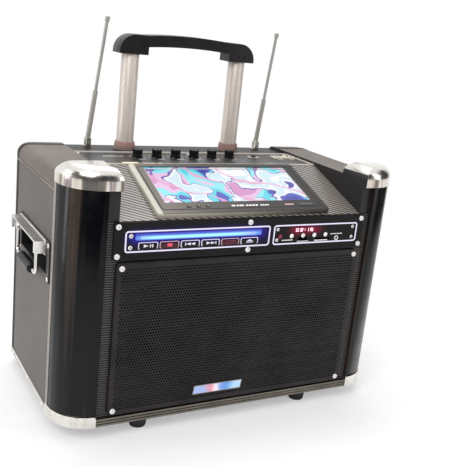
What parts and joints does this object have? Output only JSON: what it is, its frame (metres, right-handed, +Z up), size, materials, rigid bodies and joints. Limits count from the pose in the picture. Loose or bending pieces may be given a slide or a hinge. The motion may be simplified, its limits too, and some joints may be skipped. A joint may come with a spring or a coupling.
{
  "type": "portable speaker with dvd player",
  "caption": "Wheeled loudspeaker box with a disc tray, monitor on a sloped top, control knobs, card module, side bails, pull-out trolley handle and telescopic antennas.",
  "frame": {"origin": "on the floor under the middle of the part's overall box", "axes": "+Z up; the front with the grille and the disc tray faces -Y; +X to the viewer's right"},
  "size_m": [0.5132, 0.2822, 0.5119],
  "materials": {
    "leatherette": "fine-grained, satin",
    "column_black": "polished",
    "chrome": "polished",
    "trim": "satin anodised",
    "rail": "satin anodised",
    "fibreboard": "painted black",
    "grille": "satin black",
    "screw": "bright",
    "slope": "carbon-patterned, satin",
    "monitor": "polished",
    "screen": "lit",
    "black_plastic": "satin",
    "control": "polished",
    "jack": "polished",
    "plate": "polished",
    "module": "satin",
    "button": "polished",
    "button_red": "polished",
    "tray": "satin, lit front",
    "chassis": "plated",
    "driver": "satin black",
    "horn": "satin",
    "heat_sink": "black anodised",
    "battery": "moulded",
    "rear_metal": "satin black",
    "rubber": "moulded",
    "handle_metal": "satin anodised",
    "dish": "moulded",
    "bail": "polished"
  },
  "bodies": {
    "cabinet": {"side_panels": "leatherette", "bottom_panel": "fibreboard", "rear_shell": "column_black", "cheeks": "leatherette", "front_columns": "column_black", "chrome_corners": "chrome", "side_trims": "trim", "bottom_rail": "rail", "baffle": "fibreboard", "grille": "grille", "front_screws": "screw", "slope_panel": "slope", "monitor_frame": "monitor", "monitor_screen": "screen", "top_board": "black_plastic", "control_panel": "control", "jack_sockets": "jack", "player_plate": "plate", "media_module": "module", "disc_chassis": "chassis", "woofer": "driver", "tweeter": "horn", "amplifier": "heat_sink", "battery": "battery", "rear_plate": "rear_metal", "feet": "rubber", "wheel_housings": "black_plastic", "side_dishes": "dish", "trolley_sleeves": "black_plastic", "antenna_bases": "chrome"},
    "disc_tray": {"disc_tray": "tray"},
    "spindle": {"spindle": "black_plastic"},
    "power_rocker": {"power_rocker": "black_plastic"},
    "wheel_left": {"wheel_left": "rubber"},
    "wheel_right": {"wheel_right": "rubber"},
    "bail_left": {"bail_left": "bail"},
    "bail_right": {"bail_right": "bail"},
    "trolley_handle": {"trolley_tubes": "handle_metal", "trolley_grip": "black_plastic"},
    "antenna_left_lower": {"antenna_left_lower": "chrome"},
    "antenna_left_upper": {"antenna_left_upper": "chrome"},
    "antenna_right_lower": {"antenna_right_lower": "chrome"},
    "antenna_right_upper": {"antenna_right_upper": "chrome"},
    "knob_1": {"knob_1": "black_plastic"},
    "knob_2": {"knob_2": "black_plastic"},
    "knob_3": {"knob_3": "black_plastic"},
    "knob_4": {"knob_4": "black_plastic"},
    "knob_5": {"knob_5": "black_plastic"},
    "knob_6": {"knob_6": "black_plastic"},
    "disc_button_1": {"disc_button_1": "button"},
    "disc_button_2": {"disc_button_2": "button_red"},
    "disc_button_3": {"disc_button_3": "button"},
    "disc_button_4": {"disc_button_4": "button"},
    "disc_button_5": {"disc_button_5": "button_red"},
    "disc_button_6": {"disc_button_6": "button"},
    "module_button_1": {"module_button_1": "button_red"},
    "module_button_2": {"module_button_2": "button"},
    "module_button_3": {"module_button_3": "button"},
    "module_button_4": {"module_button_4": "button"},
    "module_button_5": {"module_button_5": "button"}
  },
  "joints": [
    {"name": "tray_slide", "type": "slide", "parent": "cabinet", "child": "disc_tray", "axis": [0, -1, 0], "range_m": [0, 0.118]},
    {"name": "spindle_turn", "type": "hinge", "parent": "cabinet", "child": "spindle", "pos_m": [-0.069, -0.05785, 0.2641], "axis": [0, 0, 1], "continuous": true},
    {"name": "rocker_tilt", "type": "hinge", "parent": "cabinet", "child": "power_rocker", "pos_m": [0.03, 0.12715, 0.186], "axis": [1, 0, 0], "range_deg": [0, 20]},
    {"name": "wheel_left_roll", "type": "hinge", "parent": "cabinet", "child": "wheel_left", "pos_m": [-0.199, 0.11315, 0.028], "axis": [1, 0, 0], "continuous": true},
    {"name": "bail_left_swing", "type": "hinge", "parent": "cabinet", "child": "bail_left", "pos_m": [-0.2501, -0.00385, 0.235], "axis": [0, 1, 0], "range_deg": [0, 84]},
    {"name": "antenna_left_tilt", "type": "hinge", "parent": "cabinet", "child": "antenna_left_lower", "pos_m": [-0.14, 0.10915, 0.3385], "axis": [0, -1, 0], "range_deg": [-2, 84]},
    {"name": "antenna_left_extend", "type": "slide", "parent": "antenna_left_lower", "child": "antenna_left_upper", "axis": [0.1132, 0, 0.9936], "range_m": [-0.048, 0]},
    {"name": "wheel_right_roll", "type": "hinge", "parent": "cabinet", "child": "wheel_right", "pos_m": [0.199, 0.11315, 0.028], "axis": [1, 0, 0], "continuous": true},
    {"name": "bail_right_swing", "type": "hinge", "parent": "cabinet", "child": "bail_right", "pos_m": [0.2501, -0.00385, 0.235], "axis": [0, -1, 0], "range_deg": [0, 84]},
    {"name": "antenna_right_tilt", "type": "hinge", "parent": "cabinet", "child": "antenna_right_lower", "pos_m": [0.14, 0.10915, 0.3385], "axis": [0, 1, 0], "range_deg": [-8, 84]},
    {"name": "antenna_right_extend", "type": "slide", "parent": "antenna_right_lower", "child": "antenna_right_upper", "axis": [0.0958, 0, 0.9954], "range_m": [-0.048, 0]},
    {"name": "trolley_slide", "type": "slide", "parent": "cabinet", "child": "trolley_handle", "axis": [0, 0, 1], "range_m": [-0.12, 0]},
    {"name": "knob_1_turn", "type": "hinge", "parent": "cabinet", "child": "knob_1", "pos_m": [-0.0885, 0.04315, 0.327], "axis": [0, 0, -1], "range_deg": [-150, 150]},
    {"name": "knob_2_turn", "type": "hinge", "parent": "cabinet", "child": "knob_2", "pos_m": [-0.0593, 0.04315, 0.327], "axis": [0, 0, -1], "range_deg": [-150, 150]},
    {"name": "knob_3_turn", "type": "hinge", "parent": "cabinet", "child": "knob_3", "pos_m": [-0.0301, 0.04315, 0.327], "axis": [0, 0, -1], "range_deg": [-150, 150]},
    {"name": "knob_4_turn", "type": "hinge", "parent": "cabinet", "child": "knob_4", "pos_m": [-0.0009, 0.04315, 0.327], "axis": [0, 0, -1], "range_deg": [-150, 150]},
    {"name": "knob_5_turn", "type": "hinge", "parent": "cabinet", "child": "knob_5", "pos_m": [0.0283, 0.04315, 0.327], "axis": [0, 0, -1], "range_deg": [-150, 150]},
    {"name": "knob_6_turn", "type": "hinge", "parent": "cabinet", "child": "knob_6", "pos_m": [0.0575, 0.04315, 0.327], "axis": [0, 0, -1], "range_deg": [-150, 150]},
    {"name": "disc_button_1_press", "type": "slide", "parent": "cabinet", "child": "disc_button_1", "axis": [0, 1, 0], "range_m": [0, 0.001], "stiffness_N_per_m": 300, "springref_m": -0.002},
    {"name": "disc_button_2_press", "type": "slide", "parent": "cabinet", "child": "disc_button_2", "axis": [0, 1, 0], "range_m": [0, 0.001], "stiffness_N_per_m": 300, "springref_m": -0.002},
    {"name": "disc_button_3_press", "type": "slide", "parent": "cabinet", "child": "disc_button_3", "axis": [0, 1, 0], "range_m": [0, 0.001], "stiffness_N_per_m": 300, "springref_m": -0.002},
    {"name": "disc_button_4_press", "type": "slide", "parent": "cabinet", "child": "disc_button_4", "axis": [0, 1, 0], "range_m": [0, 0.001], "stiffness_N_per_m": 300, "springref_m": -0.002},
    {"name": "disc_button_5_press", "type": "slide", "parent": "cabinet", "child": "disc_button_5", "axis": [0, 1, 0], "range_m": [0, 0.001], "stiffness_N_per_m": 300, "springref_m": -0.002},
    {"name": "disc_button_6_press", "type": "slide", "parent": "cabinet", "child": "disc_button_6", "axis": [0, 1, 0], "range_m": [0, 0.001], "stiffness_N_per_m": 300, "springref_m": -0.002},
    {"name": "module_button_1_press", "type": "slide", "parent": "cabinet", "child": "module_button_1", "axis": [0, 1, 0], "range_m": [0, 0.001], "stiffness_N_per_m": 300, "springref_m": -0.002},
    {"name": "module_button_2_press", "type": "slide", "parent": "cabinet", "child": "module_button_2", "axis": [0, 1, 0], "range_m": [0, 0.001], "stiffness_N_per_m": 300, "springref_m": -0.002},
    {"name": "module_button_3_press", "type": "slide", "parent": "cabinet", "child": "module_button_3", "axis": [0, 1, 0], "range_m": [0, 0.001], "stiffness_N_per_m": 300, "springref_m": -0.002},
    {"name": "module_button_4_press", "type": "slide", "parent": "cabinet", "child": "module_button_4", "axis": [0, 1, 0], "range_m": [0, 0.001], "stiffness_N_per_m": 300, "springref_m": -0.002},
    {"name": "module_button_5_press", "type": "slide", "parent": "cabinet", "child": "module_button_5", "axis": [0, 1, 0], "range_m": [0, 0.001], "stiffness_N_per_m": 300, "springref_m": -0.002}
  ]
}
